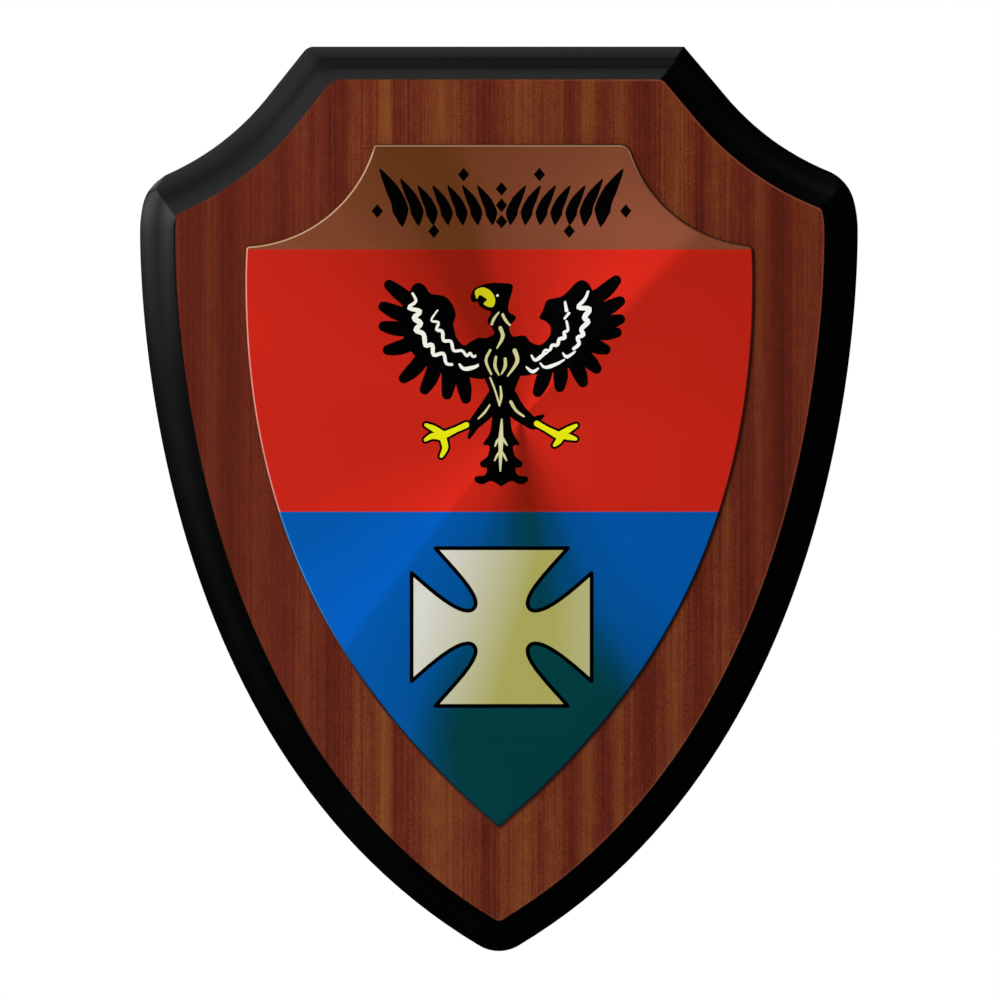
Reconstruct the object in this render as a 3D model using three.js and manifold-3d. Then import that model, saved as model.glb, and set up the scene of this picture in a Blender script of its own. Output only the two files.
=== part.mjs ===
import * as THREE from 'three';
import { mergeVertices } from 'three/addons/utils/BufferGeometryUtils.js';
import Module from 'manifold-3d';

// A wall plaque: a wooden shield with a moulded edge, and a thin metal shield lying on its face.
// Sizes are in millimetres and angles in degrees. X runs to the right, Z up, and the front faces -Y.
// The origin is the middle of the flat back, which lies against the wall.

// Board outline, seen from the front
const boardWidth = 150;
const boardHeight = 189;
const boardThickness = 14;
const boardTopWidth = 78.2;
const boardTopCorner = 1; // radius
const boardLeadLength = 14.2; // straight run from a top corner down into the hollow
const boardLeadAngle = 40; // of that run, from the vertical
const boardHollowRadius = 55;
const boardFlankDrop = 38.5; // from the top edge down to the widest level
const boardFlankRadius = 25; // round of the edge just above the widest level
const boardFlankHandle = 14.8; // pull of the flank's curve at the widest level
const boardTipHandle = 79.5; // pull of the flank's curve at the tip
const boardTipAngle = 30.8; // of the edge beside the tip, from the horizontal
const boardShoulderRadius = 9.2; // where the mitred shoulder's nose is rounded off
const boardNoseDepth = 1.9; // how far into the moulding that rounding goes

// Moulded edge: an arris and a small step round the face, then an ogee down to the side
const rimTop = 7;
const rimHollow = 7.9;
const rimFlank = 7.1;
const rimTip = 6.5;
const faceShoulderRadius = 1.2; // along the mitre and on the face
const faceTipRadius = 1.5;
const faceArris = 0.35;
const stepDepth = 1;
const ogeeDepth = 6;
const ogeeSwing = 0.6; // a straight bevel is 0, and 1 is level halfway across
const backArris = 0.5;

// Keyhole slot routed in the back, for a nail or screw head
const keyholeDrop = 33; // from the top edge down to the middle of the entry hole
const keyholeRise = 13; // from there up to the middle of the slot's top
const entryDiameter = 9.5;
const neckWidth = 5;
const keyholeDepth = 8;
const lipThickness = 3;

// Metal plate outline, of the same kind
const plateWidth = 106.7;
const plateHeight = 142.5;
const plateThickness = 1;
const plateTopDrop = 20.5; // from the board's top edge down to the plate's
const plateTopWidth = 53.1;
const plateCorner = 0.6; // radius at the top, the shoulders and the tip
const plateLeadLength = 1.8;
const plateLeadAngle = 18.5;
const plateHollowRadius = 28.8;
const plateFlankDrop = 28.7;
const plateFlankRadius = 120;
const plateFlankHandle = 43;
const plateTipHandle = 51;
const plateTipAngle = 40.5;
const plateBevel = 0.35;
const glueGap = 0.3; // adhesive film between the board and the plate

// Faces along each stretch of an outline
const cornerSteps = 3;
const hollowSteps = 12;
const shoulderSteps = 7;
const flankRoundSteps = 3;
const flankSteps = 20;
const tipSteps = 4;
const ogeeSteps = 8;
const holeSteps = 20;

const boardShape = {
	width: boardWidth,
	height: boardHeight,
	topWidth: boardTopWidth,
	topCorner: boardTopCorner,
	leadLength: boardLeadLength,
	leadAngle: boardLeadAngle,
	hollowRadius: boardHollowRadius,
	flankDrop: boardFlankDrop,
	flankRadius: boardFlankRadius,
	flankHandle: boardFlankHandle,
	tipHandle: boardTipHandle,
	tipAngle: boardTipAngle,
	tipRadius: faceTipRadius + rimTip,
	shares: {
		top: rimTop / rimFlank,
		hollow: rimHollow / rimFlank,
		flank: 1,
		tip: rimTip / rimFlank,
	},
};

const plateShape = {
	width: plateWidth,
	height: plateHeight,
	topWidth: plateTopWidth,
	topCorner: plateCorner,
	leadLength: plateLeadLength,
	leadAngle: plateLeadAngle,
	hollowRadius: plateHollowRadius,
	flankDrop: plateFlankDrop,
	flankRadius: plateFlankRadius,
	flankHandle: plateFlankHandle,
	tipHandle: plateTipHandle,
	tipAngle: plateTipAngle,
	tipRadius: plateCorner,
	shares: { top: 1, hollow: 1, flank: 1, tip: 1 },
};

function heading(angle) {
	return new THREE.Vector2(Math.cos(angle), Math.sin(angle));
}

function along(start, direction, distance) {
	return start.clone().addScaledVector(direction, distance);
}

// Where two circles meet, on the right of the way from the first centre to the second
function circlesMeet(centreA, radiusA, centreB, radiusB) {
	const way = centreB.clone().sub(centreA);
	const gap = way.length();
	const forward = (radiusA * radiusA - radiusB * radiusB + gap * gap) / (2 * gap);
	const aside = Math.sqrt(radiusA * radiusA - forward * forward);
	way.normalize();
	const right = new THREE.Vector2(way.y, -way.x);
	return along(along(centreA, way, forward), right, aside);
}

function arcPoints(centre, startAngle, endAngle, radius, steps) {
	const points = [];
	for (let i = 0; i <= steps; i++) {
		const angle = THREE.MathUtils.lerp(startAngle, endAngle, i / steps);
		points.push(along(centre, heading(angle), radius));
	}
	return points;
}

// The right half of a shield's outline at one level, set in by the same share of its edge width all round
function rightHalf(shape, level) {
	const { inset, shoulderRadius } = level;
	const top = shape.height / 2;
	const setIn = {
		top: inset * shape.shares.top,
		hollow: inset * shape.shares.hollow,
		flank: inset * shape.shares.flank,
		tip: inset * shape.shares.tip,
	};

	const leadAngle = THREE.MathUtils.degToRad(shape.leadAngle);
	const leadOut = heading(leadAngle);
	const leadWay = new THREE.Vector2(leadOut.y, -leadOut.x);
	const leadEnd = along(new THREE.Vector2(shape.topWidth / 2, top), leadWay, shape.leadLength);
	const hollowCentre = along(leadEnd, leadOut, shape.hollowRadius);

	const innerLeadEnd = along(leadEnd, leadOut, -setIn.hollow);
	const innerTop = top - setIn.top;
	const leadRun = (innerTop - innerLeadEnd.y) / -leadWay.y;
	const cornerX = innerLeadEnd.x - leadWay.x * leadRun;
	const cornerTangent = shape.topCorner * Math.tan((Math.PI / 2 - leadAngle) / 2);
	const cornerCentre = new THREE.Vector2(cornerX - cornerTangent, innerTop - shape.topCorner);
	const corner = arcPoints(cornerCentre, Math.PI / 2, leadAngle, shape.topCorner, cornerSteps);

	const hollowRadius = shape.hollowRadius + setIn.hollow;
	const flankRadius = shape.flankRadius - setIn.flank;
	const flankCentre = new THREE.Vector2(shape.width / 2 - shape.flankRadius, top - shape.flankDrop);
	const shoulderCentre = circlesMeet(
		flankCentre,
		flankRadius - shoulderRadius,
		hollowCentre,
		hollowRadius + shoulderRadius,
	);
	const hollowEnd = shoulderCentre.clone().sub(hollowCentre).angle();
	const shoulderEnd = shoulderCentre.clone().sub(flankCentre).angle();
	const hollow = arcPoints(hollowCentre, leadAngle + Math.PI, hollowEnd, hollowRadius, hollowSteps);
	const shoulder = arcPoints(shoulderCentre, hollowEnd - Math.PI, shoulderEnd, shoulderRadius, shoulderSteps);
	const flankRound = arcPoints(flankCentre, shoulderEnd, 0, flankRadius, flankRoundSteps);

	const tipAngle = THREE.MathUtils.degToRad(shape.tipAngle);
	const tipCentre = new THREE.Vector2(0, shape.tipRadius - top);
	const tipOut = heading(tipAngle - Math.PI / 2);
	const tipWay = heading(tipAngle);
	const flankStart = new THREE.Vector2(shape.width / 2, flankCentre.y);
	const flankEnd = along(tipCentre, tipOut, shape.tipRadius);
	const flankCurve = new THREE.CubicBezierCurve(
		flankStart,
		along(flankStart, new THREE.Vector2(0, -1), shape.flankHandle),
		along(flankEnd, tipWay, shape.tipHandle),
		flankEnd,
	);
	const flank = [];
	for (let i = 1; i < flankSteps; i++) {
		const t = i / flankSteps;
		const tangent = flankCurve.getTangent(t);
		const inward = new THREE.Vector2(tangent.y, -tangent.x);
		flank.push(along(flankCurve.getPoint(t), inward, THREE.MathUtils.lerp(setIn.flank, setIn.tip, t)));
	}
	const tipRadius = shape.tipRadius - setIn.tip;
	const tip = arcPoints(tipCentre, tipAngle - Math.PI / 2, -Math.PI / 2, tipRadius, tipSteps);

	return [
		new THREE.Vector2(0, innerTop),
		...corner,
		...hollow,
		...shoulder.slice(1),
		...flankRound.slice(1),
		...flank,
		...tip,
	];
}

// The whole outline, clockwise from the middle of the top edge
function shieldRing(shape, level) {
	const right = rightHalf(shape, level);
	const left = right.slice(1, -1).reverse().map((point) => new THREE.Vector2(-point.x, point.y));
	return [...right, ...left];
}

// A closed body through the outlines at a row of levels, from the front one to the back one
function loftShield(shape, levels) {
	const rings = levels.map((level) => shieldRing(shape, level));
	const count = rings[0].length;
	const positions = [];
	rings.forEach((ring, level) => {
		for (const point of ring) {
			positions.push(point.x, levels[level].y, point.y);
		}
	});
	const index = [];
	for (let level = 0; level + 1 < rings.length; level++) {
		for (let i = 0; i < count; i++) {
			const next = (i + 1) % count;
			const a = level * count + i;
			const b = level * count + next;
			const c = a + count;
			const d = b + count;
			index.push(a, b, c, b, d, c);
		}
	}
	const lastRing = (rings.length - 1) * count;
	for (const [a, b, c] of THREE.ShapeUtils.triangulateShape(rings[0], [])) {
		index.push(a, b, c);
	}
	for (const [a, b, c] of THREE.ShapeUtils.triangulateShape(rings[rings.length - 1], [])) {
		index.push(lastRing + a, lastRing + c, lastRing + b);
	}
	const geometry = new THREE.BufferGeometry();
	geometry.setAttribute('position', new THREE.Float32BufferAttribute(positions, 3));
	geometry.setIndex(index);
	return geometry;
}

// From the face outwards and back: arris, step, ogee, side and the arris of the back
function boardLevels() {
	const front = -boardThickness;
	const levels = [
		{ inset: rimFlank + faceArris, shoulderRadius: faceShoulderRadius, y: front },
		{ inset: rimFlank, shoulderRadius: faceShoulderRadius, y: front + faceArris },
	];
	for (let i = 0; i <= ogeeSteps; i++) {
		const t = i / ogeeSteps;
		const turn = 2 * Math.PI * t;
		const drop = t + (ogeeSwing * Math.sin(turn)) / (2 * Math.PI);
		const inset = rimFlank * (1 - t);
		const nose = Math.max(0, 1 - inset / boardNoseDepth);
		levels.push({
			inset,
			shoulderRadius: THREE.MathUtils.lerp(faceShoulderRadius, boardShoulderRadius, nose),
			y: front + stepDepth + ogeeDepth * drop,
		});
	}
	levels.push({ inset: 0, shoulderRadius: boardShoulderRadius, y: -backArris });
	levels.push({ inset: backArris, shoulderRadius: boardShoulderRadius - backArris, y: 0 });
	return levels;
}

// An upright slot with round ends, seen from the front, between two depths behind the back face
function slotGeometry(bottomZ, topZ, width, fromDepth, toDepth) {
	const shape = new THREE.Shape();
	shape.absarc(0, topZ, width / 2, 0, Math.PI, false);
	shape.absarc(0, bottomZ, width / 2, Math.PI, 2 * Math.PI, false);
	const geometry = new THREE.ExtrudeGeometry(shape, {
		depth: toDepth - fromDepth,
		curveSegments: holeSteps / 2,
		bevelEnabled: false,
	});
	geometry.rotateX(Math.PI / 2);
	geometry.translate(0, -fromDepth, 0);
	return geometry;
}

function roundHoleGeometry(centreZ, diameter, fromDepth, toDepth) {
	const geometry = new THREE.CylinderGeometry(diameter / 2, diameter / 2, toDepth - fromDepth, holeSteps);
	geometry.translate(0, -(fromDepth + toDepth) / 2, centreZ);
	return geometry;
}

const wasm = await Module();
wasm.setup();

function solidFrom(geometry) {
	const bare = geometry.clone();
	bare.deleteAttribute('normal');
	bare.deleteAttribute('uv');
	const merged = mergeVertices(bare, 1e-4);
	return new wasm.Manifold(new wasm.Mesh({
		numProp: 3,
		vertProperties: new Float32Array(merged.attributes.position.array),
		triVerts: new Uint32Array(merged.index.array),
	}));
}

function geometryFrom(solid) {
	const mesh = solid.getMesh();
	const geometry = new THREE.BufferGeometry();
	geometry.setAttribute('position', new THREE.Float32BufferAttribute(mesh.vertProperties, 3));
	geometry.setIndex(Array.from(mesh.triVerts));
	return geometry;
}

// Entry hole, narrow neck above it, and behind the lip a pocket as wide as the entry
function cutKeyhole(solid) {
	const entryZ = boardHeight / 2 - keyholeDrop;
	const topZ = entryZ + keyholeRise;
	const outside = -1;
	const entry = solidFrom(roundHoleGeometry(entryZ, entryDiameter, outside, keyholeDepth));
	const neck = solidFrom(slotGeometry(entryZ, topZ, neckWidth, outside, keyholeDepth));
	const pocket = solidFrom(slotGeometry(entryZ, topZ, entryDiameter, lipThickness, keyholeDepth));
	return solid.subtract(entry).subtract(neck).subtract(pocket);
}

function makeBoard() {
	const blank = solidFrom(loftShield(boardShape, boardLevels()));
	const material = new THREE.MeshStandardMaterial({ color: 0x63281a, roughness: 0.45, metalness: 0 });
	const mesh = new THREE.Mesh(geometryFrom(cutKeyhole(blank)), material);
	mesh.name = 'board';
	return mesh;
}

function makePlate() {
	const geometry = loftShield(plateShape, [
		{ inset: plateBevel, shoulderRadius: plateCorner, y: -plateThickness },
		{ inset: 0, shoulderRadius: plateCorner, y: plateBevel - plateThickness },
		{ inset: 0, shoulderRadius: plateCorner, y: 0 },
	]);
	const material = new THREE.MeshStandardMaterial({ color: 0xa8643c, roughness: 0.35, metalness: 0.8 });
	const mesh = new THREE.Mesh(geometry, material);
	mesh.name = 'plate';
	mesh.position.y = -(boardThickness + glueGap);
	mesh.position.z = boardHeight / 2 - plateTopDrop - plateHeight / 2;
	return mesh;
}

const plaque = new THREE.Group();
plaque.add(makeBoard(), makePlate());

export default plaque;
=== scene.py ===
import math

import bmesh
import bpy
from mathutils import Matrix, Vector
from mathutils.geometry import delaunay_2d_cdt, interpolate_bezier


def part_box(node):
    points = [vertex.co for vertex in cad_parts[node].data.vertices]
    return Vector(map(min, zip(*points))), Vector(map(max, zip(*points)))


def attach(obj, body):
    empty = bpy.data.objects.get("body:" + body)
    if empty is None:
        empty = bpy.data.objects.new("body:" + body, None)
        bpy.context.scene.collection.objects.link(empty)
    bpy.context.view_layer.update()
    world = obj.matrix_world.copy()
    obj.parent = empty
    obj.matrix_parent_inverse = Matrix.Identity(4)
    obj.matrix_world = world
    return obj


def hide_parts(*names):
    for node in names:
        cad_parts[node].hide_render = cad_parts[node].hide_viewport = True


# A wall plaque: a mahogany shield with a black moulded edge and a painted copper shield on its face.
# Outlines are drawn in millimetres, seen from the front, with X to the right and Z up.

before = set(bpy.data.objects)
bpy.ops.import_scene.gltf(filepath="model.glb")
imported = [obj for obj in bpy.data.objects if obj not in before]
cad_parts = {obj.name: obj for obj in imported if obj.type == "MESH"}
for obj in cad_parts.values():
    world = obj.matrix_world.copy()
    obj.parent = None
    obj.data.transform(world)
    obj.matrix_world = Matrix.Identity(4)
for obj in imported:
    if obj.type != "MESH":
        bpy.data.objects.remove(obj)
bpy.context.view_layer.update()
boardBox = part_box("board")
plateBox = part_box("plate")
mm = 0.001
mergeDistance = 0.002 * mm
sharpAngle = math.radians(35)

cameraLook = {
    "lens": 600,
    "sensor": 36,
    "frameWidth": 208.9,
    "aim": (0.23, -0.24),  # what the middle of the picture shows
    "aimDepth": -8,
}


def makeCamera():
    look = cameraLook
    data = bpy.data.cameras.new("photoCamera")
    data.lens = look["lens"]
    data.sensor_width = look["sensor"]
    data.clip_end = 50
    camera = bpy.data.objects.new("photoCamera", data)
    bpy.context.scene.collection.objects.link(camera)
    distance = look["frameWidth"] * look["lens"] / look["sensor"]
    aimX, aimZ = look["aim"]
    camera.location = Vector((aimX, look["aimDepth"] - distance, aimZ)) * mm
    camera.rotation_euler = (math.pi / 2, 0, 0)
    bpy.context.scene.camera = camera


makeCamera()
bpy.context.scene.view_settings.view_transform = "Standard"
print("camera made")


# Outline of a shield


def heading(angle):
    return Vector((math.cos(angle), math.sin(angle)))


def blend(start, end, share):
    return start + (end - start) * share


def arcPoints(centre, startAngle, endAngle, radius, steps):
    return [centre + heading(blend(startAngle, endAngle, i / steps)) * radius for i in range(steps + 1)]


def circlesMeet(centreA, radiusA, centreB, radiusB):
    way = centreB - centreA
    gap = way.length
    forward = (radiusA**2 - radiusB**2 + gap**2) / (2 * gap)
    aside = math.sqrt(radiusA**2 - forward**2)
    way.normalize()
    return centreA + way * forward + Vector((way.y, -way.x)) * aside


def halfOutline(form, inset, corner, shoulder, flankExtra=0):
    top = form["height"] / 2
    inTop, inHollow, inFlank, inTip = [inset * share for share in form["shares"]]
    inFlank += flankExtra
    leadAngle = math.radians(form["leadAngle"])
    leadOut = heading(leadAngle)
    leadWay = Vector((leadOut.y, -leadOut.x))
    leadEnd = Vector((form["halfTop"], top)) + leadWay * form["lead"]
    hollowCentre = leadEnd + leadOut * form["hollowRadius"]
    hollowRadius = form["hollowRadius"] + inHollow

    innerTop = top - inTop
    cornerTangent = corner * math.tan((math.pi / 2 - leadAngle) / 2)
    if cornerTangent < form["lead"]:
        innerLead = leadEnd - leadOut * inHollow
        cornerX = innerLead.x + leadWay.x * (innerTop - innerLead.y) / leadWay.y
        cornerCentre = Vector((cornerX - cornerTangent, innerTop - corner))
        hollowStart = leadAngle
    else:  # the round runs straight into the hollow
        drop = hollowCentre.y - innerTop + corner
        aside = math.sqrt((hollowRadius + corner) ** 2 - drop**2)
        cornerCentre = Vector((hollowCentre.x - aside, innerTop - corner))
        hollowStart = math.atan2(drop, aside)
    topCorner = arcPoints(cornerCentre, math.pi / 2, hollowStart, corner, form["cornerSteps"])

    flankRadius = form["flankRadius"] - inFlank
    flankCentre = Vector((form["halfWidth"] - form["flankRadius"], top - form["flankDrop"]))
    shoulderCentre = circlesMeet(
        flankCentre, flankRadius - shoulder, hollowCentre, hollowRadius + shoulder
    )
    towards = shoulderCentre - hollowCentre
    hollowEnd = math.atan2(towards.y, towards.x) % (2 * math.pi)
    towards = shoulderCentre - flankCentre
    shoulderEnd = math.atan2(towards.y, towards.x)
    hollow = arcPoints(hollowCentre, hollowStart + math.pi, hollowEnd, hollowRadius, form["hollowSteps"])
    turn = arcPoints(shoulderCentre, hollowEnd - math.pi, shoulderEnd, shoulder, form["shoulderSteps"])
    flankRound = arcPoints(flankCentre, shoulderEnd, 0, flankRadius, form["flankRoundSteps"])

    tipAngle = math.radians(form["tipAngle"])
    tipCentre = Vector((0, form["tipRadius"] - top))
    flankStart = Vector((form["halfWidth"], flankCentre.y))
    flankEnd = tipCentre + heading(tipAngle - math.pi / 2) * form["tipRadius"]
    handleA = flankStart - Vector((0, form["flankHandle"]))
    handleB = flankEnd + heading(tipAngle) * form["tipHandle"]
    steps = form["flankSteps"]
    curve = interpolate_bezier(flankStart, handleA, handleB, flankEnd, steps + 1)
    flank = []
    for i in range(1, steps):
        along = (curve[i + 1] - curve[i - 1]).normalized()
        flank.append(curve[i] + Vector((along.y, -along.x)) * blend(inFlank, inTip, i / steps))
    tipStart = tipAngle - math.pi / 2
    tip = arcPoints(tipCentre, tipStart, -math.pi / 2, form["tipRadius"] - inTip, form["tipSteps"])
    return [Vector((0, innerTop))] + topCorner + hollow + turn[1:] + flankRound[1:] + flank + tip


def outlineRing(form, level):
    right = halfOutline(form | form["right"], level["inset"], *level["right"])
    left = halfOutline(form | form["left"], level["inset"], *level["left"])
    points = right + [Vector((-p.x, p.y)) for p in reversed(left[1:-1])]
    return [p + Vector((0, form["middle"])) for p in points]


def ringEdges(bm, points, depth):
    verts = [bm.verts.new(Vector((p.x, depth, p.y)) * mm) for p in points]
    return [bm.edges.new((vert, verts[i - 1])) for i, vert in enumerate(verts)]


def loftRings(bm, form, levels):
    rings = [ringEdges(bm, outlineRing(form, level), level["depth"]) for level in levels]
    for i, level in enumerate(levels[1:]):
        made = bmesh.ops.bridge_loops(bm, edges=rings[i] + rings[i + 1])
        for face in made["faces"]:
            face.material_index = level["slot"]
            face.smooth = True
    return rings


def finishedPiece(name, bm, finishes):
    mesh = bpy.data.meshes.new(name)
    bm.to_mesh(mesh)
    bm.free()
    mesh.set_sharp_from_angle(angle=sharpAngle)
    for finish in finishes:
        mesh.materials.append(finish)
    piece = bpy.data.objects.new(name, mesh)
    bpy.context.scene.collection.objects.link(piece)
    return piece


# Shader maths


class Wire:
    def __init__(self, finish, socket):
        self.finish = finish
        self.socket = socket

    def math(self, operation, *values):
        return self.finish.node("ShaderNodeMath", {"operation": operation}, dict(enumerate(values)))

    def __add__(self, other):
        return self.math("ADD", self, other)

    def __radd__(self, other):
        return self.math("ADD", other, self)

    def __sub__(self, other):
        return self.math("SUBTRACT", self, other)

    def __rsub__(self, other):
        return self.math("SUBTRACT", other, self)

    def __mul__(self, other):
        return self.math("MULTIPLY", self, other)

    def __rmul__(self, other):
        return self.math("MULTIPLY", other, self)

    def __truediv__(self, other):
        return self.math("DIVIDE", self, other)

    def __pow__(self, other):
        return self.math("POWER", self, other)


class Finish:
    def __init__(self, name):
        self.material = bpy.data.materials.new(name)
        self.material.use_nodes = True
        self.tree = self.material.node_tree
        self.shader = self.tree.nodes["Principled BSDF"]

    def node(self, kind, settings, inputs, output=0):
        made = self.tree.nodes.new(kind)
        for key, value in settings.items():
            if key == "stops":
                ramp = made.color_ramp
                while len(ramp.elements) < len(value):
                    ramp.elements.new(0.5)
                ramp.interpolation = "EASE"
                for element, (place, colour) in zip(ramp.elements, value):
                    element.position = place
                    element.color = colour
            else:
                setattr(made, key, value)
        for key, value in inputs.items():
            if isinstance(value, Wire):
                self.tree.links.new(value.socket, made.inputs[key])
            else:
                made.inputs[key].default_value = value
        return Wire(self, made.outputs[output])

    def surface(self, **sockets):
        for key, value in sockets.items():
            socket = self.shader.inputs[key.replace("_", " ")]
            if isinstance(value, Wire):
                self.tree.links.new(value.socket, socket)
            else:
                socket.default_value = value

    def place(self):
        return self.node("ShaderNodeTexCoord", {}, {}, "Object")

    def axis(self, name):
        return self.node("ShaderNodeSeparateXYZ", {}, {"Vector": self.place()}, name) / mm

    def noise(self, perMillimetre, detail=2, roughness=0.5):
        scale = [value / mm for value in perMillimetre]
        spread = self.node("ShaderNodeMapping", {}, {"Vector": self.place(), "Scale": scale})
        inputs = {"Vector": spread, "Scale": 1, "Detail": detail, "Roughness": roughness}
        return self.node("ShaderNodeTexNoise", {}, inputs)

    def ramp(self, value, stops):
        greys = [(place, (level, level, level, 1)) for place, level in stops]
        return self.node("ShaderNodeValToRGB", {"stops": greys}, {"Fac": value})

    def limited(self, value, low, high):
        inputs = {"Value": value, "From Min": low, "From Max": high}
        return self.node("ShaderNodeMapRange", {}, inputs)

    def soft(self, value, low, high):
        inputs = {"Value": value, "From Min": low, "From Max": high}
        return self.node("ShaderNodeMapRange", {"interpolation_type": "SMOOTHSTEP"}, inputs)

    def mixed(self, share, first, second):
        inputs = {0: share, 6: first, 7: second}
        return self.node("ShaderNodeMix", {"data_type": "RGBA"}, inputs, 2)

    def bump(self, height, strength, distance):
        inputs = {"Height": height, "Strength": strength, "Distance": distance * mm}
        return self.node("ShaderNodeBump", {}, inputs)


def shade(red, green, blue):
    # a colour as a screen shows it, from 0 to 255, in the scene's own light
    def straight(value):
        value /= 255
        return value / 12.92 if value < 0.04045 else ((value + 0.055) / 1.055) ** 2.4

    return (straight(red), straight(green), straight(blue), 1)


# Wood: ribbons that run the whole height, finer lines, and short pores

woodLook = {
    "halfSpan": 76,
    "ribbons": [  # across, in millimetres, and how amber the wood is there
        (-69, 0.34),
        (-63.5, 0.18),
        (-60, 0.38),
        (-56.6, 0.14),
        (-51, 0.36),
        (-46, 0.24),
        (-41, 0.42),
        (-34, 0.18),
        (-29.5, 0.50),
        (-26.6, 0.42),
        (-23.6, 0.84),
        (-21.4, 0.30),
        (-17, 0.42),
        (-12.6, 0.68),
        (-7, 0.50),
        (-2.6, 0.18),
        (2.4, 0.56),
        (5.6, 0.66),
        (8.6, 0.40),
        (12, 0.58),
        (14.8, 0.18),
        (18.6, 0.66),
        (21.8, 0.24),
        (25.2, 0.58),
        (30.6, 0.16),
        (37.5, 0.58),
        (42, 0.20),
        (47, 0.50),
        (52.5, 0.20),
        (55, 0.44),
        (58.3, 0.04),
        (63, 0.40),
    ],
    "wander": 1.6,  # how far a ribbon sways, in millimetres
    "grain": {"lines": 1.2, "threads": 0.8, "speck": 1.55, "mottle": 0.35},
    "calm": [(-28, -52, 0.42), (46, 58, 0.3)],  # where the grain gets plainer, and how much
    "lineStrength": 0.5,
    "poreStrength": 0.35,
    "dark": shade(68, 22, 11),
    "red": shade(98, 33, 19),
    "amber": shade(134, 76, 34),
    "pore": shade(44, 16, 9),
    # the arris's painted highlight on the right, and its painted shadow on the left below the shoulder
    "wearAndPaintedHighlight": {"colour": shade(140, 72, 48), "across": (-20, 40), "strength": 0.6},
    "paintedArrisShadow": {"colour": shade(6, 5, 4), "across": (-36, -44), "up": (60, 57)},
}


def woodColour(finish, look):
    x = finish.axis("X")
    wander = finish.noise((0.03, 0.03, 0.008), 2)
    across = x + (wander - 0.5) * look["wander"]
    span = look["halfSpan"]
    stops = [((place + span) / (2 * span), level) for place, level in look["ribbons"]]
    ribbon = finish.ramp((across + span) / (2 * span), stops)
    lines = finish.noise((1.5, 0.3, 0.004), 3, 0.65)
    threads = finish.noise((3.2, 1, 0.03), 2, 0.6)
    speck = finish.noise((3, 3, 1.8), 3, 0.7)
    mottle = finish.noise((0.6, 0.6, 0.3), 2)
    grain = look["grain"]
    fine = (lines - 0.5) * grain["lines"] + (threads - 0.5) * grain["threads"]
    fine = fine + (speck - 0.5) * grain["speck"] + (mottle - 0.5) * grain["mottle"]
    calm = 0
    for start, full, strength in look["calm"]:
        calm = calm + finish.soft(x, start, full) * strength
    amber = ribbon + fine * (1 - calm)
    redWood = finish.mixed(finish.limited(amber, -0.1, 0.3), look["dark"], look["red"])
    warm = finish.mixed(finish.limited(amber, 0.3, 1.05), redWood, look["amber"])
    thinLine = finish.soft(threads + (lines - 0.5) * 0.6, 0.58, 0.68)
    pore = finish.soft(speck + (threads - 0.5) * 0.3, 0.54, 0.7)
    dusky = finish.mixed(thinLine * look["lineStrength"], warm, look["dark"])
    return finish.mixed(pore * look["poreStrength"], dusky, look["pore"]), pore, lines


def mahoganyFinish(name, onArris):
    finish = Finish(name)
    colour, pore, lines = woodColour(finish, woodLook)
    if onArris:  # painted highlight on the right, and painted shadow on the left below the shoulder
        x = finish.axis("X")
        wearAndPaintedHighlight = woodLook["wearAndPaintedHighlight"]
        paintedArrisShadow = woodLook["paintedArrisShadow"]
        share = finish.soft(x, *wearAndPaintedHighlight["across"]) * wearAndPaintedHighlight["strength"]
        colour = finish.mixed(share, colour, wearAndPaintedHighlight["colour"])
        share = finish.soft(x, *paintedArrisShadow["across"]) * finish.soft(finish.axis("Z"), *paintedArrisShadow["up"])
        colour = finish.mixed(share, colour, paintedArrisShadow["colour"])
    finish.surface(
        Base_Color=colour,
        Roughness=0.46 + pore * 0.2,
        Specular_IOR_Level=0.15,
        Normal=finish.bump(1 - pore, 0.3, 0.05),
    )
    return finish.material


def plainWoodFinish():
    paler = {"dark": shade(96, 48, 30), "red": shade(118, 62, 40), "amber": shade(146, 92, 58)}
    finish = Finish("mahogany_back")
    colour, pore, lines = woodColour(finish, woodLook | paler)
    finish.surface(
        Base_Color=colour,
        Roughness=0.68 + lines * 0.2,
        Specular_IOR_Level=0.25,
        Normal=finish.bump(1 - pore, 0.5, 0.1),
    )
    return finish.material


def lacquerFinish():
    finish = Finish("black_lacquer")
    cloud = finish.noise((0.05, 0.05, 0.05), 3)
    ripple = finish.noise((0.6, 0.6, 0.6), 2)
    colour = finish.mixed(cloud, shade(0, 0, 0), shade(3, 3, 4))
    finish.surface(
        Base_Color=colour,
        Roughness=0.28 + cloud * 0.1,
        Specular_IOR_Level=0.5,
        Normal=finish.bump(ripple, 0.04, 0.05),
    )
    return finish.material


# Board: a stack of outlines from the face down over the moulding to the back

boardLook = {
    "rim": {"top": 7, "left hollow": 8.5, "right hollow": 8, "flank": 7.1, "tip": 6.5},
    "faceArris": 0.35,
    "leftArris": 0.1,  # how much wider the arris is along the left flank
    "faceTip": 1.5,
    "stepDepth": 1,
    "ogeeDepth": 6,
    "ogeeSwing": 0.6,
    "ogeeSteps": 28,
    "noseDepth": 1.9,
    "noseShoulder": 9.2,
    "mitreShoulder": 0.3,
    "faceShoulder": {"right": 1.2, "left": 2.5},
    "corner": {"right": (0.4, 2.2), "left": (2.6, 4.6)},  # at the outside and at the face
    "cornerTurn": {"right": 3, "left": 1},
    "backArris": 0.5,
    "keyhole": {"drop": 33, "rise": 13, "entry": 9.5, "neck": 5, "depth": 8, "lip": 3, "sides": 64},
}
boardRim = boardLook["rim"]


def rimShares(hollow):
    return [boardRim[part] / boardRim["flank"] for part in ("top", hollow, "flank", "tip")]


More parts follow.
